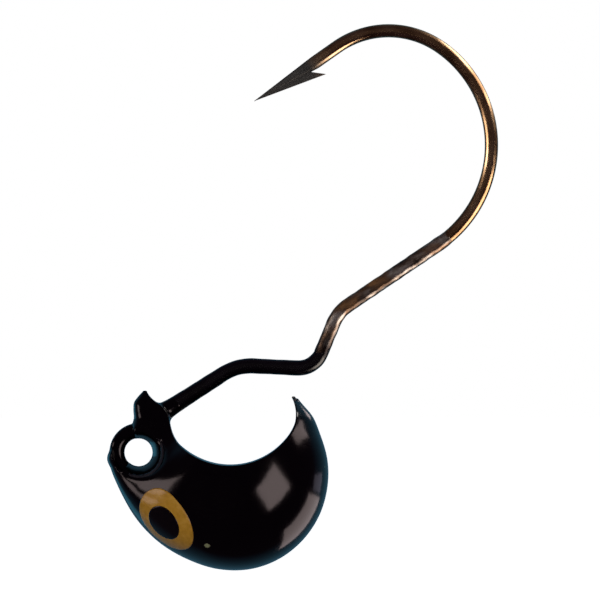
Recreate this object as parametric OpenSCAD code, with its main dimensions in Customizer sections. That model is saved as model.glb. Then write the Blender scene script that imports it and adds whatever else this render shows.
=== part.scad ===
// Jig head: a wide-gap hook with a kinked shank, cast into a crescent head.
// The origin is the centre of the line-tie ring. The wire lies in the plane Y = 0,
// +X runs from the ring along the head, and +Z points from the belly to the horns.

/* [Hook] */
// Diameter of the bare wire
wire_d = 1.0; // [0.9:0.05:1.05]
// Radius of the line-tie ring, to the middle of its wire
ring_r = 1.62; // [1.6:0.01:1.66]
// How far the wire wraps round the ring, in degrees
ring_wrap = 290; // [270:5:290]
// Direction in which the shank leaves the ring, in degrees above +X
shank_heading = 30.7; // [30:0.1:32]
// Length of the tapered point
point_length = 5.4; // [5:0.1:5.8]
// Length of the barb's edge, from the tip of the point
barb_length = 5.75; // [5.6:0.05:5.9]

/* [Head] */
// Radius of the cup between the horns
cup_r = 5.5; // [5.3:0.05:5.6]
// Greatest thickness of the casting
head_thickness = 11.6; // [10.5:0.1:12.5]
// Radius of the rim along the cup's edge
rim_r = 0.3; // [0.15:0.05:0.4]
// Radius of the lead's hole at the line tie, at its narrowest
lead_hole_r = 1.25; // [1.22:0.01:1.3]

/* [Coats] */
// Thickness of the paint on the head
head_paint_t = 0.08; // [0.06:0.01:0.1]
// Thickness of the paint on the ring
ring_paint_t = 0.08; // [0.07:0.01:0.1]
// Radius of the painted hole at the line tie
tie_bore_r = 1.06; // [1.05:0.005:1.07]
// Thickness of the paint on the shank, clear of the head
shank_paint_t = 0.07; // [0.06:0.01:0.1]
// Thickness of the overspray past the kink
overspray_t = 0.03; // [0.03:0.01:0.05]

/* [Eyes] */
// Diameter of the iris
iris_d = 5.2; // [4:0.1:5.6]
// Diameter of the pupil
pupil_d = 3.0; // [2:0.1:3.4]
// Thickness of each layer of an eye
eye_paint_t = 0.06; // [0.05:0.01:0.1]

/* [Hidden] */
$fn = 48;

wire_r = wire_d / 2;
// Each joint between two runs is bridged by a short collar, hardly proud of the wire
joint_w = 0.06;
joint_proud = 0.004;

// The wire from the ring to the point. [length, 0] is a straight, [radius, turn] a bend.
wire_runs = [[2.7, 0], [4, 2], [5.6, 0], [3.86, -35.4], [3.3, 0], [1.86, 70.2], [2.4, 0],
             [3, -33.5], [8.2, 0], [8.96, 6], [8.96, 105.6], [6.76, 69.5], [2, 0]];
// The run that carries the tapered paint, the last painted run and the last oversprayed one
taper_run = 2;
last_painted_run = 5;
last_sprayed_run = 9;

// The point leans off the wire's line by this angle, and its tip has this radius
point_lean = 2.6;
tip_r = 0.02;
// The barb is cut from a cone that opens from the tip: its length, its half angle and its lean
barb_cone = 7;
barb_cone_angle = 8.9;
barb_cone_lean = 3.5;
// Seen from the tip, the directions of the ends of the barb's outer edge, and its outline's other
// corners: the start, the notch and the notch's root
barb_keel = 13.9;
barb_top = 11.9;
barb_start = 0.5;
barb_notch = [4.9, -0.42];
barb_root = 4.2;
// The barb's width as a part of the wire's
barb_width = 0.8;

// The casting round the cup's centre. Each station is the direction from that centre, in degrees,
// the radius to the cup, the radius to the outline, and the half thickness and the depth of the
// rounding as parts of their greatest values.
cup_centre = [6.85, 4.47];
round_depth = 6;
stations = [
    [179.5, 6.30, 6.46, 0.04, 0.05], [182.5, 6.10, 6.80, 0.09, 0.08], [186, 5.78, 7.16, 0.14, 0.11],
    [190, 5.36, 7.28, 0.18, 0.14], [196, 5.05, 7.46, 0.21, 0.17], [201, 5.00, 8.20, 0.23, 0.20],
    [207, 5.12, 10.20, 0.24, 0.22], [213, 5.28, 10.55, 0.27, 0.27], [219, 5.42, 10.83, 0.36, 0.42],
    [225, 5.50, 11.16, 0.50, 0.62], [231, 5.50, 11.55, 0.66, 0.80], [238, 5.50, 11.98, 0.82, 0.92],
    [246, 5.50, 12.41, 0.94, 1.00], [256, 5.50, 12.83, 1.00, 1.00], [266, 5.50, 13.18, 1.00, 1.00],
    [276, 5.50, 13.25, 1.00, 1.00], [286, 5.50, 12.95, 1.00, 1.00], [296, 5.50, 12.29, 0.98, 1.00],
    [306, 5.50, 11.34, 0.92, 1.00], [316, 5.50, 10.14, 0.84, 1.00], [326, 5.50, 8.83, 0.75, 1.00],
    [335, 5.44, 7.45, 0.67, 0.95], [343, 5.24, 6.46, 0.58, 0.90], [349, 5.02, 5.62, 0.45, 0.80],
    [353, 4.85, 5.14, 0.25, 0.60], [355.5, 4.72, 4.84, 0.10, 0.30]];
sections = 44;
arc_steps = 8;
// The cup radius that the stations are drawn for
drawn_cup_r = 5.5;
// The rim takes at most this part of a section's width and thickness, and its bevel this part of the rim
rim_share = 1 / 3;
rim_bevel = 0.3;
// Degrees by which paint carries the tips on, for each millimetre of its thickness
tip_spread = 10;

// The hole at the line tie widens from a narrow land up to its mouth. The lead leaves the ring
// free on its outer side. Between the first two directions it is quite bare, and between the last
// two a thin wrap covers its rim.
tie_land = 0.15;
tie_flare = 0.375;
tie_mouth = 1.3;
tie_hole_depth = 3;
bare_from = 104;
bare_to = 186;
bare_r = 3;
wrapped_to = 228;
wrap_r = 2;
// How far the film of paint in the hole runs past the joint between the ring and the shank, in degrees
film_past_joint = 4;

// The lead's channel for the wire: the clearance round the wire, its flat sides and its steps
channel_gap = 0.02;
channel_sides = 20;
channel_steps = 24;
channel_end = 3;
// The tilt of its balls, so that neighbouring links of the channel share no flat
ball_tilt = [8, 6, 0];

// The mound where the shank leaves the casting: its length and its radius at the root
collar_length = 1.2;
collar_r = 0.72;
collar_end = 0.1;
collar_sides = 40;
// How much thicker the shank's paint is at the collar than clear of the head
taper_gain = 1.8;

// The eye faces outwards, downwards and to the side. Its axis meets the cheek here.
eye_at = [1.97, -5.26];
eye_depth = 3.6;
eye_turn = 215.3;
eye_tilt = 50;
eye_reach = 5;
// The head's sections that the eye spans
eye_sections = [11, 21];

// Direction and place along the wire

function side(heading) = [-sin(heading), cos(heading)];
function ahead(heading) = [cos(heading), sin(heading)];
function after(pose, run) =
    run[1] == 0
    ? [pose[0] + run[0] * ahead(pose[1]), pose[1]]
    : [pose[0] + sign(run[1]) * run[0] * (side(pose[1]) - side(pose[1] + run[1])), pose[1] + run[1]];
function pose_at(i) =
    i == 0 ? [ring_r * side(shank_heading), shank_heading] : after(pose_at(i - 1), wire_runs[i - 1]);

// Smooth value of column c of the stations, at the direction a

function row_before(a, i = 0) =
    i >= len(stations) - 2 || stations[i + 1][0] > a ? i : row_before(a, i + 1);
function slope(i, c) =
    let (lo = max(i - 1, 0), hi = min(i + 1, len(stations) - 1))
    (stations[hi][c] - stations[lo][c]) / (stations[hi][0] - stations[lo][0]);
function smooth(a, c) =
    let (i = row_before(a), w = stations[i + 1][0] - stations[i][0], t = (a - stations[i][0]) / w)
    stations[i][c] * (1 + 2 * t) * (1 - t) * (1 - t) + slope(i, c) * w * t * (1 - t) * (1 - t)
    + stations[i + 1][c] * t * t * (3 - 2 * t) + slope(i + 1, c) * w * t * t * (t - 1);

// One half of a section of the head, from the outline to the cup, as [radius, distance from Y = 0]

function rounded(u, depth) = sqrt(1 - pow(1 - min(u, depth) / depth, 2));
function half_section(a, grow) =
    let (inner = smooth(a, 1) * cup_r / drawn_cup_r - grow,
         outer = smooth(a, 2) + grow,
         half = smooth(a, 3) * head_thickness / 2 + grow,
         depth = smooth(a, 4) * round_depth,
         edge = half * rounded(outer - inner, depth),
         rim = min(rim_r, rim_share * (outer - inner), rim_share * edge),
         reach = outer - inner - rim,
         curved = min(depth, reach))
    concat(
        [for (k = [0:arc_steps - 1])
            let (u = curved * (1 - cos(90 * k / arc_steps)))
            [outer - u, half * rounded(u, depth)]],
        [[inner + rim, half * rounded(reach, depth)],
         [inner + rim_bevel * rim, edge - rim_bevel * rim],
         [inner, edge - rim]]);
function section(a, grow) =
    let (upper = half_section(a, grow), n = len(upper))
    concat([for (k = [n - 1:-1:1]) [upper[k][0], -upper[k][1]]], upper);

// Direction of section j. Paint carries the two tips on by its own thickness.

function direction(j, grow) =
    let (first = stations[0][0], last = stations[len(stations) - 1][0], tip = tip_spread * grow)
    first + (last - first) * j / sections + (j == 0 ? -tip : j == sections ? tip : 0);

// The head between two of its sections, grown by a paint thickness

module crescent(grow, from = 0, to = sections) {
    steps = to - from;
    ring = len(section(stations[0][0], grow));
    points = [for (j = [from:to]) let (a = direction(j, grow)) for (p = section(a, grow))
        [cup_centre[0] + p[0] * cos(a), p[1], cup_centre[1] + p[0] * sin(a)]];
    skin = [for (j = [0:steps - 1]) for (k = [0:ring - 1])
        let (next = (k + 1) % ring)
        [j * ring + k, (j + 1) * ring + k, (j + 1) * ring + next, j * ring + next]];
    first_cap = [for (k = [0:ring - 1]) k];
    last_cap = [for (k = [ring - 1:-1:0]) steps * ring + k];
    polyhedron(points = points, faces = concat(skin, [first_cap, last_cap]), convexity = 6);
}

// Turns a shape that was drawn in the wire's plane, X across and Y up, into that plane

module upright() {
    rotate([90, 0, 0]) children();
}

// Sweeps a flat shape along one run of the wire

module along(i) {
    run = wire_runs[i];
    start = pose_at(i);
    at = start[0];
    heading = start[1];
    if (run[1] == 0) {
        at_joint(i) linear_extrude(run[0]) children();
    } else {
        hub = at + sign(run[1]) * run[0] * side(heading);
        first = run[1] > 0 ? heading - 90 : heading + 90 + run[1];
        translate([hub[0], hub[1], 0]) rotate([0, 0, first])
            rotate_extrude(angle = abs(run[1])) translate([run[0], 0]) children();
    }
}

// Places a shape at the start of a run, with +Z along the wire

module at_joint(i) {
    pose = pose_at(i);
    translate([pose[0][0], pose[0][1], 0]) rotate([0, 0, pose[1]]) rotate([0, 90, 0]) children();
}

// The wire's own solids

module ring() {
    rotate([0, 0, shank_heading + 90]) rotate_extrude(angle = ring_wrap)
        translate([ring_r, 0]) circle(wire_r);
}

module point_and_barb() {
    base = pose_at(len(wire_runs));
    translate([base[0][0], base[0][1], 0]) rotate([0, 0, base[1] - point_lean]) {
        rotate([0, 90, 0]) cylinder(h = point_length, r1 = wire_r, r2 = tip_r);
        translate([point_length, 0, 0]) rotate([0, 0, 180]) intersection() {
            rotate([0, 0, -barb_cone_lean]) rotate([0, 90, 0])
                cylinder(h = barb_cone, r1 = 0, r2 = barb_cone * tan(barb_cone_angle));
            linear_extrude(barb_width * wire_d, center = true)
                polygon([[barb_start, 0], barb_length * ahead(-barb_keel), barb_length * ahead(-barb_top),
                         barb_notch, [barb_root, 0]]);
        }
    }
}

// A chain of runs, as thick as r

module chain(first, last, r) {
    for (i = [first:last]) along(i) circle(r);
    for (i = [first + 1:last]) at_joint(i) cylinder(h = joint_w, r = r + joint_proud, center = true);
}

module wire() {
    upright() {
        ring();
        chain(0, len(wire_runs) - 1, wire_r);
        for (i = [0, len(wire_runs)])
            at_joint(i) cylinder(h = joint_w, r = wire_r + joint_proud, center = true);
        point_and_barb();
    }
}

// What the lead leaves open: the line tie's hole, the free part of the ring, and the wire's channel

module tie_hole(r) {
    mouth = r + tie_flare * (tie_mouth - tie_land);
    upright() rotate_extrude()
        polygon([[0, -tie_hole_depth], [mouth, -tie_hole_depth], [mouth, -tie_mouth], [r, -tie_land],
                 [r, tie_land], [mouth, tie_mouth], [mouth, tie_hole_depth], [0, tie_hole_depth]]);
}

module ring_window() {
    upright() {
        rotate([0, 0, bare_from]) rotate_extrude(angle = bare_to - bare_from)
            translate([0, -tie_hole_depth]) square([bare_r, 2 * tie_hole_depth]);
        rotate([0, 0, bare_to]) rotate_extrude(angle = wrapped_to - bare_to)
            translate([0, -tie_hole_depth]) square([wrap_r, 2 * tie_hole_depth]);
    }
}

module channel_ball() {
    rotate(ball_tilt) sphere((wire_r + channel_gap) / pow(cos(180 / channel_sides), 2), $fn = channel_sides);
}

module wire_channel() {
    upright() {
        for (k = [0:channel_steps - 1]) hull() for (step = [k, k + 1])
            translate(concat(ring_r * ahead(shank_heading + 90 + ring_wrap * step / channel_steps), 0))
                channel_ball();
        for (i = [0:taper_run - 1]) hull() for (place = [pose_at(i), pose_at(i + 1)])
            translate(concat(place[0], 0)) channel_ball();
        hull() for (run = [0, channel_end])
            translate(concat(after(pose_at(taper_run), [run, 0])[0], 0)) channel_ball();
    }
}

// The head with the small mound where the shank leaves it

module head_body(grow) {
    crescent(grow);
    upright() at_joint(taper_run)
        cylinder(h = collar_length + grow, r1 = collar_r + grow, r2 = wire_r + collar_end + grow,
                 $fn = collar_sides);
}

// A layer of paint in the shape of a disc on one cheek. It lies between two heights over the casting.

module cheek_disc(d, low, high) {
    facing = concat(sin(eye_tilt) * ahead(eye_turn), 0) - [0, 0, cos(eye_tilt)];
    difference() {
        intersection() {
            crescent(high, eye_sections[0], eye_sections[1]);
            translate([eye_at[0], -eye_depth, eye_at[1]])
                rotate([0, acos(facing[1]), atan2(facing[2], facing[0])])
                    cylinder(h = eye_reach, d = d, center = true);
        }
        crescent(low, eye_sections[0], eye_sections[1]);
    }
}

// Sub-parts

module hook() {
    color([0.16, 0.13, 0.11]) wire();
}

module lead_head() {
    color([0.45, 0.46, 0.48]) difference() {
        head_body(0);
        tie_hole(lead_hole_r);
        ring_window();
        wire_channel();
    }
}

module head_paint() {
    color([0.02, 0.02, 0.04]) difference() {
        head_body(head_paint_t);
        difference() {
            head_body(0);
            tie_hole(lead_hole_r);
        }
        tie_hole(lead_hole_r - head_paint_t);
        ring_window();
        wire_channel();
    }
}

module line_tie_paint() {
    wall_r = lead_hole_r - head_paint_t;
    mouth = wall_r + tie_flare * (wire_d - tie_land);
    start = shank_heading + 90 + film_past_joint;
    color([0.03, 0.02, 0.04]) upright() difference() {
        rotate_extrude() translate([ring_r, 0]) difference() {
            circle(wire_r + ring_paint_t);
            circle(wire_r);
            translate([tie_bore_r - ring_r - wire_d, -wire_d]) square([wire_d, 2 * wire_d]);
        }
        // The casting's own paint begins at the hole's wall
        rotate([0, 0, wrapped_to]) rotate_extrude(angle = 360 - wrapped_to + start)
            polygon([[bare_r, -wire_d], [mouth, -wire_d], [wall_r, -tie_land],
                     [wall_r, tie_land], [mouth, wire_d], [bare_r, wire_d]]);
        along(0) circle(wire_r);
    }
}

module shank_paint() {
    start = collar_length + head_paint_t;
    color([0.05, 0.03, 0.06]) difference() {
        upright() {
            at_joint(taper_run) translate([0, 0, start])
                cylinder(h = wire_runs[taper_run][0] - start, r1 = wire_r + taper_gain * shank_paint_t,
                         r2 = wire_r + shank_paint_t);
            at_joint(taper_run + 1)
                cylinder(h = joint_w, r = wire_r + shank_paint_t + joint_proud, center = true);
            chain(taper_run + 1, last_painted_run, wire_r + shank_paint_t);
        }
        wire();
    }
}

module shank_overspray() {
    color([0.22, 0.2, 0.2]) difference() {
        upright() chain(last_painted_run + 1, last_sprayed_run, wire_r + overspray_t);
        wire();
    }
}

module iris() {
    color([0.75, 0.5, 0.1]) cheek_disc(iris_d, head_paint_t, head_paint_t + eye_paint_t);
}

module pupil() {
    color([0.02, 0.02, 0.02]) cheek_disc(pupil_d, head_paint_t + eye_paint_t, head_paint_t + 2 * eye_paint_t);
}

module left_iris() {
    iris();
}

module left_pupil() {
    pupil();
}

module right_iris() {
    mirror([0, 1, 0]) iris();
}

module right_pupil() {
    mirror([0, 1, 0]) pupil();
}

hook();
lead_head();
head_paint();
line_tie_paint();
shank_paint();
shank_overspray();
left_iris();
left_pupil();
right_iris();
right_pupil();
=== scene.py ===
import math

import bpy
import numpy as np
from mathutils import Matrix, Vector


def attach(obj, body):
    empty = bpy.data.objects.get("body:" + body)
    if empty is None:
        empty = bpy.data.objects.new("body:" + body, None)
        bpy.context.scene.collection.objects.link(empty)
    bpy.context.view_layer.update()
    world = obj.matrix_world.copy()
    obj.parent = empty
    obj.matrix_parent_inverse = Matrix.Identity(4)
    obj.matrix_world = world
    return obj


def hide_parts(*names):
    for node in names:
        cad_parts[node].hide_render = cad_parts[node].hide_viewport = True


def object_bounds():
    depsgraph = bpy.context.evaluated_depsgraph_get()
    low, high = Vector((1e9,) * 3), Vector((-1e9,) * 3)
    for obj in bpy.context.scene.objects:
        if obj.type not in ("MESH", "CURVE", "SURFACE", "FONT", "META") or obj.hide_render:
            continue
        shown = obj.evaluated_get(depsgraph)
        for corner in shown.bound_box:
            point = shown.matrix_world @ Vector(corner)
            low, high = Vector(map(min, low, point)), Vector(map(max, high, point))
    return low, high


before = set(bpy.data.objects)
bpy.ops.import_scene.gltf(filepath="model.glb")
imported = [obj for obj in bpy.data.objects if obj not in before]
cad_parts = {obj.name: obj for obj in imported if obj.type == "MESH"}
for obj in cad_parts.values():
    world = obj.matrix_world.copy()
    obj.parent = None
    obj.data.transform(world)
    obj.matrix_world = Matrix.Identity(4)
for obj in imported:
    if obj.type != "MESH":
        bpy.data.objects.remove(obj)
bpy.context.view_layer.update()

MM = 0.001

# ---------------------------------------------------------------------------
# Sizes, in millimetres, the same as the part's source
# ---------------------------------------------------------------------------

WIRE_R = 0.5
RING_R = 1.62
RING_WRAP = 290
HEADING = 30.7
# Straights [length, 0] and bends [radius, turn in degrees] from the ring to the point
RUNS = [[2.7, 0], [4, 2], [5.6, 0], [3.86, -35.4], [3.3, 0], [1.86, 70.2], [2.4, 0],
        [3, -33.5], [8.2, 0], [8.96, 6], [8.96, 105.6], [6.76, 69.5], [2, 0]]
POINT_LENGTH = 5.4
POINT_LEAN = 2.6
POINT_TIP_R = 0.015
BARB_LENGTH = 5.75
BARB_NOTCH = 4.75
BARB_KEEL = 11.9
# Depth of the notch's floor, and thickness of the barb's end
BARB_TOP, BARB_TIP = 0.42, 0.02
# Half widths: at the keel before the notch, at the top and the keel past it, and the least; and
# the share of them that is gone at the barb's end
BARB_KEEL_W, BARB_BACK_W, BARB_LEAST_W = 0.035, (0.30, 0.03), 0.012
BARB_NARROWING = 0.8
# The sliver is this share of the point's own radius wide before the notch
BARB_SHARE = 0.86
PAINT = 0.08
HOLE_R = 1.06
CUP = (6.85, 4.47)
HALF = 5.8
DEPTH = 6.0
# Direction from the cup's centre in degrees, cup radius, outline radius, and the shares of the
# full half thickness and of the full depth of rounding
STATIONS = np.array([
    [179.5, 6.30, 6.46, 0.04, 0.05], [182.5, 6.10, 6.80, 0.09, 0.08], [186, 5.78, 7.16, 0.14, 0.11],
    [190, 5.36, 7.28, 0.18, 0.14], [196, 5.05, 7.46, 0.21, 0.17], [201, 5.00, 8.20, 0.23, 0.20],
    [207, 5.12, 10.20, 0.24, 0.22], [213, 5.28, 10.55, 0.27, 0.27], [219, 5.42, 10.83, 0.36, 0.42],
    [225, 5.50, 11.16, 0.50, 0.62], [231, 5.50, 11.55, 0.66, 0.80], [238, 5.50, 11.98, 0.82, 0.92],
    [246, 5.50, 12.41, 0.94, 1.00], [256, 5.50, 12.83, 1.00, 1.00], [266, 5.50, 13.18, 1.00, 1.00],
    [276, 5.50, 13.25, 1.00, 1.00], [286, 5.50, 12.95, 1.00, 1.00], [296, 5.50, 12.29, 0.98, 1.00],
    [306, 5.50, 11.34, 0.92, 1.00], [316, 5.50, 10.14, 0.84, 1.00], [326, 5.50, 8.83, 0.75, 1.00],
    [335, 5.44, 7.45, 0.67, 0.95], [343, 5.24, 6.46, 0.58, 0.90], [349, 5.02, 5.62, 0.45, 0.80],
    [353, 4.85, 5.14, 0.25, 0.60], [355.5, 4.72, 4.84, 0.10, 0.30]])
EYE_AT = np.array([1.70, -3.6, -5.31])
PUPIL_SHIFT = np.array([-0.01, 0, -0.08])
EYE_TURN, EYE_TILT = 209, 50
IRIS_R, PUPIL_R = (2.36, 2.62), (1.42, 1.43)

# ---------------------------------------------------------------------------
# Sizes of the visual alone, in millimetres
# ---------------------------------------------------------------------------

# The cheeks' dome: its middle, its reach to the left and right, its height, and the share of
# that height at which it levels out above
DOME_AT = (6.6, -1.9)
DOME_REACH = (13.0, 7.8)
DOME_HEIGHT = 7.6
DOME_LEVEL = 0.6
# The hole opens in a curve from its narrow land: how far it opens per millimetre, and per
# millimetre squared, until it stops
HOLE_LAND = 0.15
HOLE_OPENING = (0.2, 0.16)
HOLE_DEPTH = 1.5
# The ring stands free of the head between the first two directions, and shows inside the
# backing radius between the second two
RING_FREE, RING_BACKED, BACKING_R = (104, 168), (150, 228), 1.98
LEAD_FREE, LEAD_BACKED, LEAD_BACKING_R = (104, 186), (180, 228), 2.02
# The lead stays this far under its paint's inner face, and its hole is a straight cone
LEAD_GAP = 0.03
LEAD_HOLE_R, LEAD_HOLE_FLARE, LEAD_HOLE_DEPTH = 1.25, 0.375, 1.15
# The mound of paint where the shank leaves the head: its radius, its swell at the head and the
# length over which the swell fades, and its start and end along the shank
MOUND_R, MOUND_SWELL, MOUND_FADE = 0.61, 0.26, 0.6
MOUND_START, MOUND_END = -1.2, 1.62
# The shank's coat: its thickness, its swell at the head, and where it starts and the swell fades from
SHANK_COAT, COAT_SWELL, COAT_START, COAT_FADE = 0.07, 0.056, 1.3, 1.5
SPRAY_COAT, SPRAY_OVERLAP = 0.036, 0.5


def direction(degrees):
    return np.array([math.cos(math.radians(degrees)), math.sin(math.radians(degrees))])


def side(degrees):
    return np.array([-math.sin(math.radians(degrees)), math.cos(math.radians(degrees))])


def wedge(x, z, first, last):
    """Positive between two directions from the ring's middle, and the distance to the nearer."""
    e0, e1 = direction(first), direction(last)
    return np.minimum(e0[0] * z - e0[1] * x, x * e1[1] - z * e1[0])


# ---------------------------------------------------------------------------
# The wire's path
# ---------------------------------------------------------------------------

def arc_length(run):
    length, turn = run
    return length if turn == 0 else abs(math.radians(turn)) * length


def run_start(i):
    """Length of the wire from the end of the ring to the start of run i."""
    return sum(arc_length(run) for run in RUNS[:i])


def along_run(at, h, run, f):
    """Place and heading after the share f of a run that starts at the place at, heading h."""
    length, turn = run
    if turn == 0:
        return at + length * f * direction(h), h
    s = 1 if turn > 0 else -1
    return at + s * length * (side(h) - side(h + turn * f)), h + turn * f


def walk():
    """Place and heading at the start of each run, and at the end of the last."""
    at, h = RING_R * side(HEADING), HEADING
    out = [(at, h)]
    for run in RUNS:
        at, h = along_run(at, h, run, 1)
        out.append((at, h))
    return out


STARTS = walk()
SPRAY_START = run_start(6)
POINT_START = run_start(len(RUNS))
MOUND_AT, MOUND_HEADING = STARTS[2]

# ---------------------------------------------------------------------------
# The head as a field: negative inside the paint, and close to a distance near its surface
# ---------------------------------------------------------------------------

_x = STATIONS[:, 0]
_lo = np.maximum(np.arange(len(_x)) - 1, 0)
_hi = np.minimum(np.arange(len(_x)) + 1, len(_x) - 1)
_slopes = (STATIONS[_hi] - STATIONS[_lo]) / (_x[_hi] - _x[_lo])[:, None]


def columns(a):
    """The station values at the directions a, by a smooth curve through the stations."""
    a = np.clip(a, _x[0], _x[-1])
    i = np.clip(np.searchsorted(_x, a, side="right") - 1, 0, len(_x) - 2)
    w = _x[i + 1] - _x[i]
    t = (a - _x[i]) / w
    h0, h1 = (1 + 2 * t) * (1 - t) ** 2, t * t * (3 - 2 * t)
    g0, g1 = w * t * (1 - t) ** 2, w * t * t * (t - 1)
    return [STATIONS[i, c] * h0 + STATIONS[i + 1, c] * h1
            + _slopes[i, c] * g0 + _slopes[i + 1, c] * g1 for c in range(1, 5)]


def smax(a, b, k):
    """The larger of a and b, rounded over k where they meet."""
    h = np.maximum(k - np.abs(a - b), 0) / k
    return np.maximum(a, b) + h * h * k / 4


def smin(a, b, k):
    return -smax(-a, -b, k)


def section(a, r, y):
    """1 on the crescent's section in direction a; with the cup's radius and the section's sizes."""
    inner, outer, half, depth = columns(a)
    half, depth = half * HALF, depth * DEPTH
    u = np.maximum(1 - (outer - r) / depth, 0)
    return np.sqrt(u ** 2 + (y / half) ** 2), inner, u, half, depth


def casting(p):
    """Signed distance, near enough, to the bare crescent."""
    x, y, z = p[:, 0] - CUP[0], p[:, 1], p[:, 2] - CUP[1]
    r = np.maximum(np.hypot(x, z), 0.3)
    a = np.degrees(np.arctan2(z, x)) % 360
    a = np.where(a < 87.5, a + 360, a)
    g, inner, u, half, depth = section(a, r, y)
    beside = 0.5
    turning = (section(a + beside, r, y)[0] - g) / (math.radians(beside) * r)
    safe = np.maximum(g, 0.05)
    slope = np.sqrt((u / depth / safe) ** 2 + (y / half ** 2 / safe) ** 2 + turning ** 2)
    body = (g - 1) / np.maximum(slope, 0.12)
    past = np.maximum(np.maximum(_x[0] - a, a - _x[-1]), 0)
    ends = r * np.sin(np.radians(np.minimum(past, 90))) - 0.02
    # The cheeks are domed all over, where the sections alone would leave them flat
    bx, bz = p[:, 0] - DOME_AT[0], p[:, 2] - DOME_AT[1]
    reach = np.where(bx > 0, DOME_REACH[1], DOME_REACH[0])
    across = bx / reach
    level = DOME_LEVEL * np.tanh(bz / (DOME_LEVEL * DOME_HEIGHT))
    up = np.where(bz > 0, level, bz / DOME_HEIGHT)
    e = np.sqrt(across ** 2 + up ** 2 + (y / HALF) ** 2)
    tilt = np.sqrt((across / reach) ** 2 + (up / DOME_HEIGHT) ** 2 + (y / HALF ** 2) ** 2)
    tilt = tilt / np.maximum(e, 0.05)
    body = smax(body, (e - 1) / np.maximum(tilt, 0.05), 0.6)
    d = smax(body, inner - r, 0.12)
    return smax(d, np.where(past > 0, ends, -1.0), 0.05)


def skin(p):
    """The painted head, with the paint's fillets round the ring and the shank."""
    x, y, z = p[:, 0], p[:, 1], p[:, 2]
    rho = np.hypot(x, z)
    d = casting(p) - PAINT
    out = np.clip(np.abs(y) - HOLE_LAND, 0, HOLE_DEPTH)
    mouth = HOLE_OPENING[0] * out + HOLE_OPENING[1] * out ** 2
    d = smax(d, (HOLE_R + mouth - rho) * 0.9, 0.5)
    d = smax(d, wedge(x, z, *RING_FREE), 0.2)
    d = smax(d, np.minimum(wedge(x, z, *RING_BACKED), BACKING_R - rho), 0.1)
    ring = smax(np.hypot(rho - RING_R, y) - WIRE_R - PAINT, HOLE_R - rho, 0.03)
    d = smin(d, ring, 0.1)
    t = direction(MOUND_HEADING)
    s = (x - MOUND_AT[0]) * t[0] + (z - MOUND_AT[1]) * t[1]
    q = np.hypot((z - MOUND_AT[1]) * t[0] - (x - MOUND_AT[0]) * t[1], y)
    mound = q - (MOUND_R + MOUND_SWELL * np.exp(-np.maximum(s, 0) / MOUND_FADE))
    mound = smax(mound, s - MOUND_END, 0.04)
    mound = smax(mound, MOUND_START - s, 0.3)
    return smin(d, mound, 0.3)


def gradient(field, p, step):
    g = np.empty_like(p)
    for i in range(3):
        e = np.zeros(3)
        e[i] = step
        g[:, i] = (field(p + e) - field(p - e)) / (2 * step)
    return g


def surface(field, low, high, h, mirrored=False):
    """Meshes the zero of a field by surface nets, then moves each vertex onto it exactly.
    A mirrored field is worked out on one side of Y alone."""
    low, high = np.array(low, float), np.array(high, float)
    n = np.ceil((high - low) / h).astype(int) + 1
    axes = [low[i] + h * np.arange(n[i]) for i in range(3)]
    half = axes[1]
    if mirrored:
        half = h * (np.arange(int(math.ceil(high[1] / h))) + 0.5)
        axes[1] = np.concatenate([-half[::-1], half])
    xs, ys, zs = np.meshgrid(axes[0], half, axes[2], indexing="ij")
    p = np.stack([xs.ravel(), ys.ravel(), zs.ravel()], 1)
    f = np.concatenate([field(p[i:i + 200000]) for i in range(0, len(p), 200000)]).reshape(xs.shape)
    if mirrored:
        f = np.concatenate([f[:, ::-1], f], 1)
    inside = f < 0
    cells = tuple(k - 1 for k in f.shape)
    total, count, where = np.zeros(cells, int), np.zeros(cells), np.zeros(cells + (3,))
    corners = [(i, j, k) for i in (0, 1) for j in (0, 1) for k in (0, 1)]

    def at(c, v):
        return v[c[0]:c[0] + cells[0], c[1]:c[1] + cells[1], c[2]:c[2] + cells[2]]

    for c in corners:
        total += at(c, inside)
    for c in corners:
        for axis in range(3):
            if c[axis]:
                continue
            e = list(c)
            e[axis] = 1
            a, b = at(c, f), at(e, f)
            cross = (a < 0) != (b < 0)
            t = np.where(cross, a / np.where(cross, a - b, 1), 0)
            count += cross
            for i in range(3):
                where[..., i] += cross * (c[i] + (t if i == axis else 0))
    active = (total > 0) & (total < 8)
    index = np.full(cells, -1)
    index[active] = np.arange(active.sum())
    ijk = np.argwhere(active)
    v = ijk + where[active] / count[active][:, None]
    start = np.array([axes[0][0], axes[1][0], axes[2][0]])
    v = start + v * h
    faces = []
    for axis in range(3):
        o1, o2 = (axis + 1) % 3, (axis + 2) % 3
        lo = [slice(None)] * 3
        hi = [slice(None)] * 3
        lo[axis], hi[axis] = slice(0, -1), slice(1, None)
        change = inside[tuple(lo)] != inside[tuple(hi)]
        e = np.argwhere(change)
        e = e[(e[:, o1] > 0) & (e[:, o2] > 0) & (e[:, o1] < cells[o1]) & (e[:, o2] < cells[o2])]
        q = []
        for d1, d2 in ((1, 1), (0, 1), (0, 0), (1, 0)):
            c = e.copy()
            c[:, o1] -= d1
            c[:, o2] -= d2
            q.append(index[c[:, 0], c[:, 1], c[:, 2]])
        q = np.stack(q, 1)
        flip = ~inside[e[:, 0], e[:, 1], e[:, 2]]
        q[flip] = q[flip][:, ::-1]
        faces.append(q)
    faces = np.concatenate(faces)
    for _ in range(5):
        g = gradient(field, v, 0.004)
        step = field(v) / np.maximum((g * g).sum(1), 0.05)
        v = v - g * np.clip(step, -0.4 * h, 0.4 * h)[:, None]
    g = gradient(field, v, 0.012)
    normals = g / np.maximum(np.linalg.norm(g, axis=1), 1e-9)[:, None]
    return v, faces, normals


# ---------------------------------------------------------------------------
# Mesh making
# ---------------------------------------------------------------------------

PIECES = {}


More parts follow.
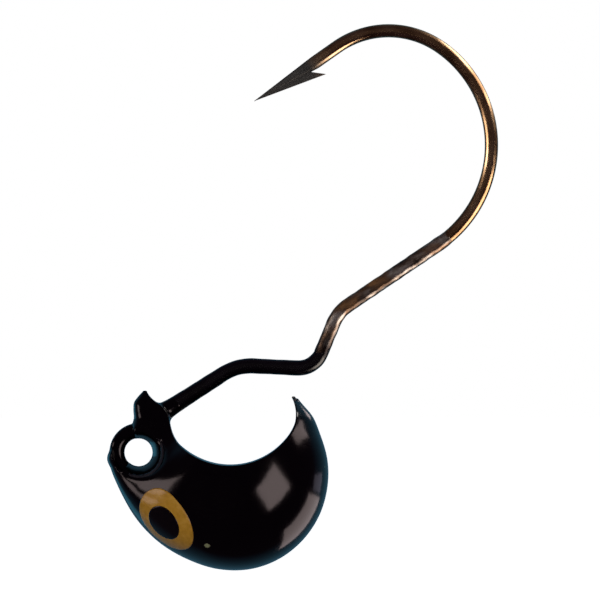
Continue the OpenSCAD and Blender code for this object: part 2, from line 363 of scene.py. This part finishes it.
def make(name, verts, faces, material, replaces, normals=None, along=None):
    """A visual piece, from places and faces in millimetres. along holds, for each vertex, its
    length along the wire and its place across it."""
    mesh = bpy.data.meshes.new(name)
    mesh.from_pydata((np.asarray(verts) * MM).tolist(), [],
                     [tuple(int(i) for i in f) for f in faces])
    mesh.validate()
    mesh.shade_smooth()
    if along is not None:
        layer = mesh.attributes.new("wire", "FLOAT_VECTOR", "POINT")
        layer.data.foreach_set("vector", np.asarray(along, float).ravel())
    if normals is not None and len(normals) == len(mesh.vertices):
        mesh.normals_split_custom_set_from_vertices(np.asarray(normals).tolist())
    mesh.materials.append(material)
    obj = bpy.data.objects.new(name, mesh)
    bpy.context.scene.collection.objects.link(obj)
    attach(obj, "root")
    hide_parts(*replaces)
    PIECES[name] = obj


def path_points(first, last, step):
    """Points along the wire's runs: place, heading and length from the end of the ring."""
    out = []
    for i in range(first, last + 1):
        arc = arc_length(RUNS[i])
        n = max(2, int(math.ceil(arc / step)))
        for k in range(n + (i == last)):
            at, h = along_run(*STARTS[i], RUNS[i], k / n)
            out.append((at, h, run_start(i) + arc * (k / n)))
    return out


def sweep(points, radii, sides, ripple=None):
    """A closed round bar along points in the wire's plane, with flat ends."""
    verts, faces, along = [], [], []
    turn = 2 * np.pi * np.arange(sides) / sides
    for (at, h, s), radius in zip(points, radii):
        n = side(h)
        if ripple is not None:
            radius = radius + ripple(s, turn)
        for t, r in zip(turn, np.broadcast_to(radius, turn.shape)):
            c, d = math.cos(t) * r, math.sin(t) * r
            verts.append((at[0] + n[0] * c, d, at[1] + n[1] * c))
            along.append((s, c, d))
    rows = len(points)
    for j in range(rows - 1):
        for k in range(sides):
            m = (k + 1) % sides
            faces.append((j * sides + k, (j + 1) * sides + k, (j + 1) * sides + m, j * sides + m))
    for j, flip in ((0, False), (rows - 1, True)):
        at, _, s = points[j]
        verts.append((at[0], 0, at[1]))
        along.append((s, 0, 0))
        c = len(verts) - 1
        for k in range(sides):
            f = (c, j * sides + k, j * sides + (k + 1) % sides)
            faces.append(f[::-1] if flip else f)
    return verts, faces, along


# ---------------------------------------------------------------------------
# Materials
# ---------------------------------------------------------------------------

def nodes_of(name):
    """A new material, its node tree and its shader."""
    m = bpy.data.materials.new(name)
    m.use_nodes = True
    t = m.node_tree
    return m, t, t.nodes["Principled BSDF"]


def add(t, kind, **values):
    """A new node. in_NAME or in_NUMBER sets an input, and any other name a setting."""
    n = t.nodes.new(kind)
    for k, v in values.items():
        if k.startswith("in_"):
            key = k[3:]
            n.inputs[int(key) if key.isdigit() else key.replace("_", " ")].default_value = v
        else:
            setattr(n, k, v)
    return n


def place(t):
    """Object coordinates in millimetres."""
    c = add(t, "ShaderNodeTexCoord")
    m = add(t, "ShaderNodeMapping", in_Scale=(1000.0, 1000.0, 1000.0))
    t.links.new(c.outputs["Object"], m.inputs["Vector"])
    return m.outputs["Vector"]


def noise(t, vec, scale, detail=4.0, rough=0.55):
    n = add(t, "ShaderNodeTexNoise", in_Scale=scale, in_Detail=detail, in_Roughness=rough)
    t.links.new(vec, n.inputs["Vector"])
    return n.outputs["Fac"]


def ramp(t, fac, stops):
    """Colours by a value: stops are (value, colour), rising."""
    r = add(t, "ShaderNodeValToRGB")
    e = r.color_ramp.elements
    while len(e) > 1:
        e.remove(e[-1])
    e[0].position, e[0].color = stops[0][0], tuple(stops[0][1]) + (1,)
    for pos, col in stops[1:]:
        k = e.new(pos)
        k.color = tuple(col) + (1,)
    t.links.new(fac, r.inputs["Fac"])
    return r.outputs["Color"]


def bump(t, bsdf, height, depth):
    """Relief of depth millimetres where height goes from 0 to 1."""
    b = add(t, "ShaderNodeBump", in_Strength=1.0, in_Distance=depth * MM)
    t.links.new(height, b.inputs["Height"])
    t.links.new(b.outputs["Normal"], bsdf.inputs["Normal"])


def mapped(t, fac, a, b, lo, hi):
    """A value's range a to b, carried to lo to hi and held there."""
    m = add(t, "ShaderNodeMapRange", in_1=a, in_2=b, in_3=lo, in_4=hi)
    t.links.new(fac, m.inputs[0])
    return m.outputs[0]


def roughness(t, b, fac, lo, hi, top=0.75):
    """The shader's roughness, from lo to hi as a noise goes from 0.3 to top."""
    t.links.new(mapped(t, fac, 0.3, top, lo, hi), b.inputs["Roughness"])


def near(t, vec, centre, radius, soft):
    """1 within radius millimetres of a place, 0 outside."""
    v = add(t, "ShaderNodeVectorMath", operation="DISTANCE", in_1=centre)
    t.links.new(vec, v.inputs[0])
    return mapped(t, v.outputs["Value"], radius, radius + soft, 1.0, 0.0)


def blend(t, fac, a, b):
    """Colour a to colour b; each is a colour or a node's output."""
    m = add(t, "ShaderNodeMix", data_type="RGBA")
    t.links.new(fac, m.inputs[0])
    for i, c in ((6, a), (7, b)):
        if isinstance(c, tuple):
            m.inputs[i].default_value = c + (1,)
        else:
            t.links.new(c, m.inputs[i])
    return m.outputs[2]


# Two specks in the near cheek's paint: place, radius, softness and colour
FLECKS = [((5.16, -3.89, -6.93), 0.17, 0.07, (0.36, 0.39, 0.22)),
          ((13.87, -1.46, -1.07), 0.07, 0.05, (0.3, 0.5, 0.4))]
WOBBLE = 0.2
HEAD_BLACK = ((0.0009, 0.0004, 0.001), (0.0022, 0.0008, 0.002))
SHANK_BLACK = ((0.001, 0.0006, 0.0016), (0.004, 0.0022, 0.006))


def wobbled(t, v):
    """The places v, shifted a little by a noise so that a speck's outline is uneven."""
    n = add(t, "ShaderNodeTexNoise", in_Scale=4.0, in_Detail=2.0)
    t.links.new(v, n.inputs["Vector"])
    middle = add(t, "ShaderNodeVectorMath", operation="SUBTRACT", in_1=(WOBBLE / 2,) * 3)
    t.links.new(v, middle.inputs[0])
    out = add(t, "ShaderNodeVectorMath", operation="MULTIPLY_ADD", in_1=(WOBBLE,) * 3)
    t.links.new(n.outputs["Color"], out.inputs[0])
    t.links.new(middle.outputs[0], out.inputs[2])
    return out.outputs[0]


def black_paint(name, base, peel, gloss, flecks=()):
    m, t, b = nodes_of(name)
    v = place(t)
    col = ramp(t, noise(t, v, 0.35, 3), [(0.35, base[0]), (0.7, base[1])])
    if flecks:
        uneven = wobbled(t, v)
        for spot, radius, soft, colour in flecks:
            col = blend(t, near(t, uneven, spot, radius, soft), col, colour)
    t.links.new(col, b.inputs["Base Color"])
    b.inputs["IOR"].default_value = 1.5
    b.inputs["Specular IOR Level"].default_value = 0.5
    roughness(t, b, noise(t, v, 9.0, 3), gloss, gloss + 0.07)
    mix = add(t, "ShaderNodeMath", operation="MULTIPLY_ADD", in_1=0.25)
    t.links.new(noise(t, v, 6.5, 2), mix.inputs[0])
    t.links.new(noise(t, v, 1.1, 2), mix.inputs[2])
    bump(t, b, mix.outputs[0], peel)
    return m


def gold_paint():
    m, t, b = nodes_of("iris_gold_paint")
    v = place(t)
    col = ramp(t, noise(t, v, 2.2, 5), [(0.3, (0.62, 0.315, 0.03)),
                                        (0.55, (0.72, 0.38, 0.045)),
                                        (0.8, (0.80, 0.47, 0.09))])
    t.links.new(col, b.inputs["Base Color"])
    roughness(t, b, noise(t, v, 11.0, 3), 0.16, 0.3)
    b.inputs["Coat Weight"].default_value = 0.4
    b.inputs["Coat Roughness"].default_value = 0.08
    bump(t, b, noise(t, v, 7.0, 3), 0.01)
    return m


def pupil_paint():
    m, t, b = nodes_of("pupil_black_paint")
    v = place(t)
    col = ramp(t, noise(t, v, 3.0, 4), [(0.3, (0.003, 0.0028, 0.004)),
                                        (0.75, (0.010, 0.006, 0.006))])
    t.links.new(col, b.inputs["Base Color"])
    roughness(t, b, noise(t, v, 10.0, 3), 0.08, 0.18)
    b.inputs["Coat Weight"].default_value = 0.3
    bump(t, b, noise(t, v, 6.0, 2), 0.008)
    return m


def wire_place(t, stretch):
    """Millimetres along the wire, times stretch, and across it; and those along it alone."""
    a = add(t, "ShaderNodeAttribute", attribute_name="wire", attribute_type="GEOMETRY")
    m = add(t, "ShaderNodeMapping", in_Scale=(stretch, 1, 1))
    t.links.new(a.outputs["Vector"], m.inputs["Vector"])
    x = add(t, "ShaderNodeSeparateXYZ")
    t.links.new(a.outputs["Vector"], x.inputs[0])
    return m.outputs["Vector"], x.outputs["X"]


def bronze():
    m, t, b = nodes_of("hook_bronze")
    v, run = wire_place(t, 0.3)
    base = ramp(t, noise(t, v, 1.5, 3, 0.5), [(0.3, (0.20, 0.105, 0.05)),
                                              (0.5, (0.42, 0.25, 0.13)),
                                              (0.72, (0.60, 0.41, 0.25))])
    grey = ramp(t, noise(t, v, 1.6, 3), [(0.3, (0.045, 0.045, 0.045)),
                                         (0.75, (0.11, 0.107, 0.104))])
    tip = mapped(t, run, POINT_START - 1.4, POINT_START + 0.6, 0.0, 1.0)
    t.links.new(blend(t, tip, base, grey), b.inputs["Base Color"])
    t.links.new(mapped(t, tip, 0.0, 1.0, 0.95, 0.5), b.inputs["Metallic"])
    duller = add(t, "ShaderNodeMath", operation="MULTIPLY_ADD", in_1=0.28)
    t.links.new(tip, duller.inputs[0])
    t.links.new(mapped(t, noise(t, v, 1.8, 3), 0.3, 0.75, 0.2, 0.34), duller.inputs[2])
    t.links.new(duller.outputs[0], b.inputs["Roughness"])
    bump(t, b, noise(t, v, 1.9, 2, 0.5), 0.008)
    return m


def overspray():
    m, t, b = nodes_of("shank_overspray_coat")
    v, run = wire_place(t, 0.5)
    n = noise(t, v, 1.15, 3, 0.55)
    rust = mapped(t, noise(t, v, 0.7, 2), 0.5, 0.62, 0.0, 0.7)
    col = ramp(t, n, [(0.4, (0.02, 0.015, 0.014)), (0.49, (0.13, 0.09, 0.07)),
                      (0.56, (0.33, 0.27, 0.23)), (0.66, (0.52, 0.47, 0.44))])
    col = blend(t, rust, col, (0.30, 0.15, 0.065))
    patchy = add(t, "ShaderNodeMath", operation="MULTIPLY_ADD", in_1=3.0)
    t.links.new(noise(t, v, 0.9, 3), patchy.inputs[0])
    t.links.new(run, patchy.inputs[2])
    dark = mapped(t, patchy.outputs[0], SPRAY_START + 1.6, SPRAY_START + 4.0, 1.0, 0.0)
    t.links.new(blend(t, dark, col, (0.006, 0.004, 0.006)), b.inputs["Base Color"])
    roughness(t, b, n, 0.26, 0.42, top=0.7)
    t.links.new(mapped(t, n, 0.34, 0.55, 0.3, 0.85), b.inputs["Metallic"])
    bump(t, b, noise(t, v, 2.0, 3, 0.5), 0.014)
    return m


def cast_lead():
    m, t, b = nodes_of("cast_lead")
    v = place(t)
    col = ramp(t, noise(t, v, 1.3, 6, 0.6), [(0.3, (0.17, 0.175, 0.185)),
                                             (0.75, (0.34, 0.345, 0.355))])
    t.links.new(col, b.inputs["Base Color"])
    b.inputs["Metallic"].default_value = 0.85
    roughness(t, b, noise(t, v, 4.0, 5), 0.42, 0.65, top=0.7)
    bump(t, b, noise(t, v, 3.0, 6, 0.6), 0.05)
    return m


# ---------------------------------------------------------------------------
# The head's skin and the eyes
# ---------------------------------------------------------------------------

# The box round the head that the fields are meshed in
HEAD_BOX = (-2.7, -6.2, -9.2), (14.7, 6.2, 5.1)
HEAD_CELL = 0.11
EYE_CELL = 0.065
LEAD_CELL = 0.3

verts, faces, normals = surface(skin, *HEAD_BOX, HEAD_CELL, mirrored=True)
make("head_coat", verts, faces, black_paint("head_black_paint", HEAD_BLACK, 0.006, 0.1, FLECKS),
     ("head_paint", "line_tie_paint"), normals=normals)

tilted = math.sin(math.radians(EYE_TILT)) * direction(EYE_TURN)
level = side(EYE_TURN)
EYE_AXIS = np.array([tilted[0], -math.cos(math.radians(EYE_TILT)), tilted[1]])
EYE_LEVEL = np.array([level[0], 0, level[1]])
EYE_SLOPE = np.cross(EYE_AXIS, EYE_LEVEL)
EYE_REACH = np.array([3.2, 3.0, 3.2])


def layer(centre, radius, low, high, edge):
    """A round or oval coat on the skin, from low to high above it, with a rounded edge."""
    def field(p):
        d = skin(p)
        q = p - centre
        t = q @ EYE_AXIS
        ring = (np.hypot(q @ EYE_SLOPE / radius[0], q @ EYE_LEVEL / radius[1]) - 1) * radius[0]
        f = smax(d - high, ring, edge)
        f = smax(f, low - d, 0.02)
        return np.maximum(f, -2.5 - t)
    return field


def eye_piece(name, field, material):
    """One piece of the eye on each cheek."""
    v, f, n = surface(field, EYE_AT - EYE_REACH, EYE_AT + EYE_REACH, EYE_CELL)
    flip = np.array([1, -1, 1])
    make("left_" + name, v, f, material, ("left_" + name,), normals=n)
    make("right_" + name, v * flip, f[:, ::-1], material, ("right_" + name,),
         normals=n * flip)


eye_piece("iris", layer(EYE_AT, IRIS_R, -0.1, 0.055, 0.09), gold_paint())
eye_piece("pupil", layer(EYE_AT + PUPIL_SHIFT, PUPIL_R, -0.06, 0.1, 0.08), pupil_paint())

# ---------------------------------------------------------------------------
# The hook
# ---------------------------------------------------------------------------

STEPS = 60
WIRE_SIDES = 36
end_at, end_heading = STARTS[-1]
point_heading = end_heading - POINT_LEAN


def hook_bar():
    """The ring, the runs and the point as one bar."""
    path = []
    for k in range(STEPS):
        a = HEADING + 90 + RING_WRAP * (1 - k / STEPS)
        path.append((RING_R * direction(a), a - 90, -0.1 * (STEPS - k)))
    path += path_points(0, len(RUNS) - 1, 0.12)
    radii = [WIRE_R] * len(path)
    for k in range(1, STEPS + 1):
        f = k / STEPS
        at = end_at + POINT_LENGTH * f * direction(point_heading)
        path.append((at, point_heading, POINT_START + POINT_LENGTH * f))
        radii.append(WIRE_R * (1 - f) + POINT_TIP_R * f)
    return sweep(path, radii, WIRE_SIDES)


def barb():
    """A sliver cut from the wire's inner side. Its keel runs from the tip of the point."""
    tip = end_at + POINT_LENGTH * direction(point_heading)
    back, down = -direction(point_heading), side(point_heading)
    rows, cols = STEPS, 9
    keel = math.radians(BARB_KEEL)
    full_x, full_d = BARB_LENGTH * math.cos(keel), BARB_LENGTH * math.sin(keel)
    verts, along = [], []
    for j in range(rows + 1):
        x, low_d = full_x * j / rows, full_d * j / rows
        past = max(0.0, (x - BARB_NOTCH) / (full_x - BARB_NOTCH))
        top = 0.0 if past == 0 else BARB_TOP + past * (full_d - BARB_TIP - BARB_TOP)
        for k in range(cols):
            f = k / (cols - 1)
            depth = top + (low_d - top) * f
            if past == 0:
                wide = BARB_SHARE * WIRE_R * x / POINT_LENGTH * (1 - f) + BARB_KEEL_W * f
            else:
                wide = (BARB_BACK_W[0] * (1 - f) + BARB_BACK_W[1] * f) * (1 - BARB_NARROWING * past)
            wide = max(BARB_LEAST_W, wide)
            c = tip + back * x + down * depth
            verts.append((c[0], wide, c[1]))
            along.append((POINT_START + POINT_LENGTH - x, -1 - depth, wide))
    n = len(verts)
    verts += [(x, -y, z) for x, y, z in verts]
    along += along
    faces = []
    for j in range(rows):
        for k in range(cols - 1):
            a, b = j * cols + k, (j + 1) * cols + k
            faces.append((a, b, b + 1, a + 1))
            faces.append((n + a + 1, n + b + 1, n + b, n + a))
        a, b = j * cols, (j + 1) * cols
        faces.append((a, n + a, n + b, b))
        a, b = j * cols + cols - 1, (j + 1) * cols + cols - 1
        faces.append((a, b, n + b, n + a))
    for k in range(cols - 1):
        a, b = k, k + 1
        faces.append((a, b, n + b, n + a))
        a, b = rows * cols + k, rows * cols + k + 1
        faces.append((a, n + a, n + b, b))
    return verts, faces, along


bar_verts, bar_faces, bar_along = hook_bar()
barb_verts, barb_faces, barb_along = barb()
barb_faces = [tuple(i + len(bar_verts) for i in f) for f in barb_faces]
make("hook_wire", bar_verts + barb_verts, bar_faces + barb_faces, bronze(),
     ("hook",), along=bar_along + barb_along)

# ---------------------------------------------------------------------------
# The coats on the shank
# ---------------------------------------------------------------------------

def waves(*terms):
    """A ripple made of sines: height, waves along the wire, waves round it, and start."""
    def ripple(s, a):
        return sum(height * np.sin(run * s + turns * a + start)
                   for height, run, turns, start in terms)
    return ripple


shank_start = run_start(2)
coat = [p for p in path_points(2, 5, 0.1) if p[2] > shank_start + COAT_START]
coat_r = []
for _, _, s in coat:
    f = (s - shank_start - COAT_FADE) / (RUNS[2][0] - COAT_FADE)
    coat_r.append(WIRE_R + SHANK_COAT + COAT_SWELL * max(0.0, 1 - f))
# Its far end thins out under the overspray
for i in range(8):
    coat_r[-1 - i] = min(coat_r[-1 - i], WIRE_R + 0.02 + 0.05 * math.sin(math.pi / 2 * i / 8))
verts, faces, along = sweep(coat, coat_r, WIRE_SIDES, waves((0.006, 1.9, 2, 0), (0.004, 5.3, 3, 1)))
make("shank_coat", verts, faces, black_paint("shank_black_paint", SHANK_BLACK, 0.012, 0.24),
     ("shank_paint",), along=along)

spray = [p for p in path_points(5, 9, 0.06) if p[2] > SPRAY_START - SPRAY_OVERLAP]
spray_r = [WIRE_R + SPRAY_COAT] * len(spray)
# Its far end thins out to nothing
for i in range(12):
    spray_r[-1 - i] = WIRE_R - 0.004 + 0.04 * i / 12
verts, faces, along = sweep(spray, spray_r, 48, waves((0.006, 3.1, 2, 0), (0.005, 5.7, -3, 1.3),
                                                      (0.004, 8.3, 4, 2.1)))
make("overspray_coat", verts, faces, overspray(), ("shank_overspray",), along=along)

# ---------------------------------------------------------------------------
# The casting under the paint. It is domed like its paint, and open where the ring is free of lead.
# ---------------------------------------------------------------------------

def lead(p):
    x, y, z = p[:, 0], p[:, 1], p[:, 2]
    rho = np.hypot(x, z)
    hole = LEAD_HOLE_R + LEAD_HOLE_FLARE * np.clip(np.abs(y) - HOLE_LAND, 0, LEAD_HOLE_DEPTH)
    d = smax(casting(p) + LEAD_GAP, hole - rho, 0.05)
    d = smax(d, wedge(x, z, *LEAD_FREE), 0.05)
    return smax(d, np.minimum(wedge(x, z, *LEAD_BACKED), LEAD_BACKING_R - rho), 0.05)


verts, faces, normals = surface(lead, *HEAD_BOX, LEAD_CELL, mirrored=True)
make("lead_casting", verts, faces, cast_lead(), ("lead_head",), normals=normals)

# ---------------------------------------------------------------------------
# Floor, light and camera
# ---------------------------------------------------------------------------

FLOOR_REACH = 2.0
FLOOR_GAP = 0.4 * MM
floor_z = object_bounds()[0][2] - FLOOR_GAP
mesh = bpy.data.meshes.new("floor")
corners = [(-1, -1), (1, -1), (1, 1), (-1, 1)]
mesh.from_pydata([(x * FLOOR_REACH, y * FLOOR_REACH, floor_z) for x, y in corners], [],
                 [(0, 1, 2, 3)])
pale, _, shader = nodes_of("floor_pale")
shader.inputs["Base Color"].default_value = (0.9, 0.9, 0.9, 1)
shader.inputs["Emission Color"].default_value = (1, 1, 1, 1)
shader.inputs["Emission Strength"].default_value = 1.0
shader.inputs["Roughness"].default_value = 0.9
mesh.materials.append(pale)
floor = bpy.data.objects.new("floor", mesh)
bpy.context.scene.collection.objects.link(floor)
floor.visible_glossy = False
floor.visible_diffuse = False

# The room seen in the gloss is dark, with a blue-green wall behind; the camera itself sees white
world = bpy.data.worlds.new("studio")
bpy.context.scene.world = world
world.use_nodes = True
wt = world.node_tree
wt.nodes.clear()
coord = add(wt, "ShaderNodeTexCoord")
split = add(wt, "ShaderNodeSeparateXYZ")
wt.links.new(coord.outputs["Generated"], split.inputs[0])
behind = add(wt, "ShaderNodeMapRange", in_1=0.25, in_2=0.8, in_3=0.0, in_4=1.0)
wt.links.new(split.outputs["Y"], behind.inputs[0])
tint = ramp(wt, behind.outputs[0], [(0.0, (0.022, 0.012, 0.022)), (1.0, (0.055, 0.155, 0.23))])
room = add(wt, "ShaderNodeBackground", in_Strength=1.0)
wt.links.new(tint, room.inputs["Color"])
white = add(wt, "ShaderNodeBackground", in_Strength=1.0)
white.inputs["Color"].default_value = (1, 1, 1, 1)
path = add(wt, "ShaderNodeLightPath")
mixer = add(wt, "ShaderNodeMixShader")
wt.links.new(path.outputs["Is Camera Ray"], mixer.inputs[0])
wt.links.new(room.outputs[0], mixer.inputs[1])
wt.links.new(white.outputs[0], mixer.inputs[2])
output = add(wt, "ShaderNodeOutputWorld")
wt.links.new(mixer.outputs[0], output.inputs[0])


LIGHT_DISTANCE = 420
HEAD_MIDDLE = Vector((0.006, 0, -0.0015))


def softbox(name, way, spread, radiance, colour, roll=0.0, mirrored=True):
    """A square or oblong light. way is the direction of its middle from the head, and spread the
    angles that it fills, in degrees: the first level, the second upright."""
    data = bpy.data.lights.new(name, "AREA")
    data.shape = "RECTANGLE"
    data.size = 2 * LIGHT_DISTANCE * math.tan(math.radians(spread[0] / 2)) * MM
    data.size_y = 2 * LIGHT_DISTANCE * math.tan(math.radians(spread[1] / 2)) * MM
    data.energy = radiance * math.pi * data.size * data.size_y
    data.color = colour
    obj = bpy.data.objects.new(name, data)
    bpy.context.scene.collection.objects.link(obj)
    upright = Vector((0, 0, 1))
    z = Vector(way).normalized()
    y = (upright - upright.dot(z) * z).normalized()
    x = y.cross(z)
    turn = Matrix((x, y, z)).transposed().to_4x4() @ Matrix.Rotation(math.radians(roll), 4, "Z")
    obj.matrix_world = Matrix.Translation(HEAD_MIDDLE + z * LIGHT_DISTANCE * MM) @ turn
    obj.visible_glossy = mirrored
    return obj


def toward(azimuth, elevation):
    """Azimuth 0 is the camera's side and grows towards +X; elevation grows upwards."""
    a, e = math.radians(azimuth), math.radians(elevation)
    return (math.sin(a) * math.cos(e), -math.cos(a) * math.cos(e), math.sin(e))


def light_only(name, pieces, lights):
    """Keeps lights for some pieces alone."""
    receivers = bpy.data.collections.new(name)
    for piece in pieces:
        receivers.objects.link(PIECES[piece])
    for light in lights:
        light.light_linking.receiver_collection = receivers


WARM = (1.0, 0.8, 0.78)
light_only("lit_head", ("head_coat", "left_iris", "left_pupil", "right_iris", "right_pupil"), (
    softbox("key", toward(42, -9), (32, 30), 2.6, WARM, roll=45),
    softbox("low_strip", toward(115, -30), (35, 37), 1.8, WARM),
    softbox("low_strip_top", toward(117, -4), (22, 10), 0.55, (0.9, 0.8, 1.0)),
    softbox("horn", toward(99, 29), (26, 10), 1.9, WARM),
    softbox("horn_back", toward(146, 23), (12, 8), 2.0, WARM),
    softbox("left", toward(-84, 10), (17, 20), 1.7, WARM),
    softbox("left_low", toward(-91, -10), (12, 8), 1.6, WARM),
    softbox("high", toward(121, 46), (12, 12), 5.0, (1, 0.95, 0.9)),
    softbox("behind_left", toward(-140, -8), (22, 34), 0.5, (0.12, 0.62, 0.9))))
light_only("lit_wire", ("hook_wire", "overspray_coat", "shank_coat"), (
    softbox("wire_low", toward(74, -34), (42, 50), 5.6, (1, 0.88, 0.76)),
    softbox("wire_left", toward(-76, 2), (38, 26), 5.2, (1, 0.92, 0.84)),
    softbox("wire_top", toward(100, 38), (52, 32), 6.0, (1, 0.94, 0.88)),
    softbox("wire_front", toward(0, 15), (70, 60), 0.035, (1, 0.9, 0.75))))
softbox("fill", (-0.4, -0.9, -0.22), (50, 50), 2.7, (1, 0.97, 0.93), mirrored=False)

# The camera looks level along +Y, square to the object's side and far off
VIEW_AT = (0.0120975, -1.5, 0.0114225)
camera = bpy.data.cameras.new("camera")
camera.lens = 1200
camera.sensor_width = 36
camera.clip_start = 0.01
camera.clip_end = 20
viewer = bpy.data.objects.new("camera", camera)
bpy.context.scene.collection.objects.link(viewer)
viewer.location = VIEW_AT
viewer.rotation_euler = (math.radians(90), 0, 0)
bpy.context.scene.camera = viewer
bpy.context.scene.view_settings.view_transform = "Standard"
bpy.context.scene.view_settings.look = "None"
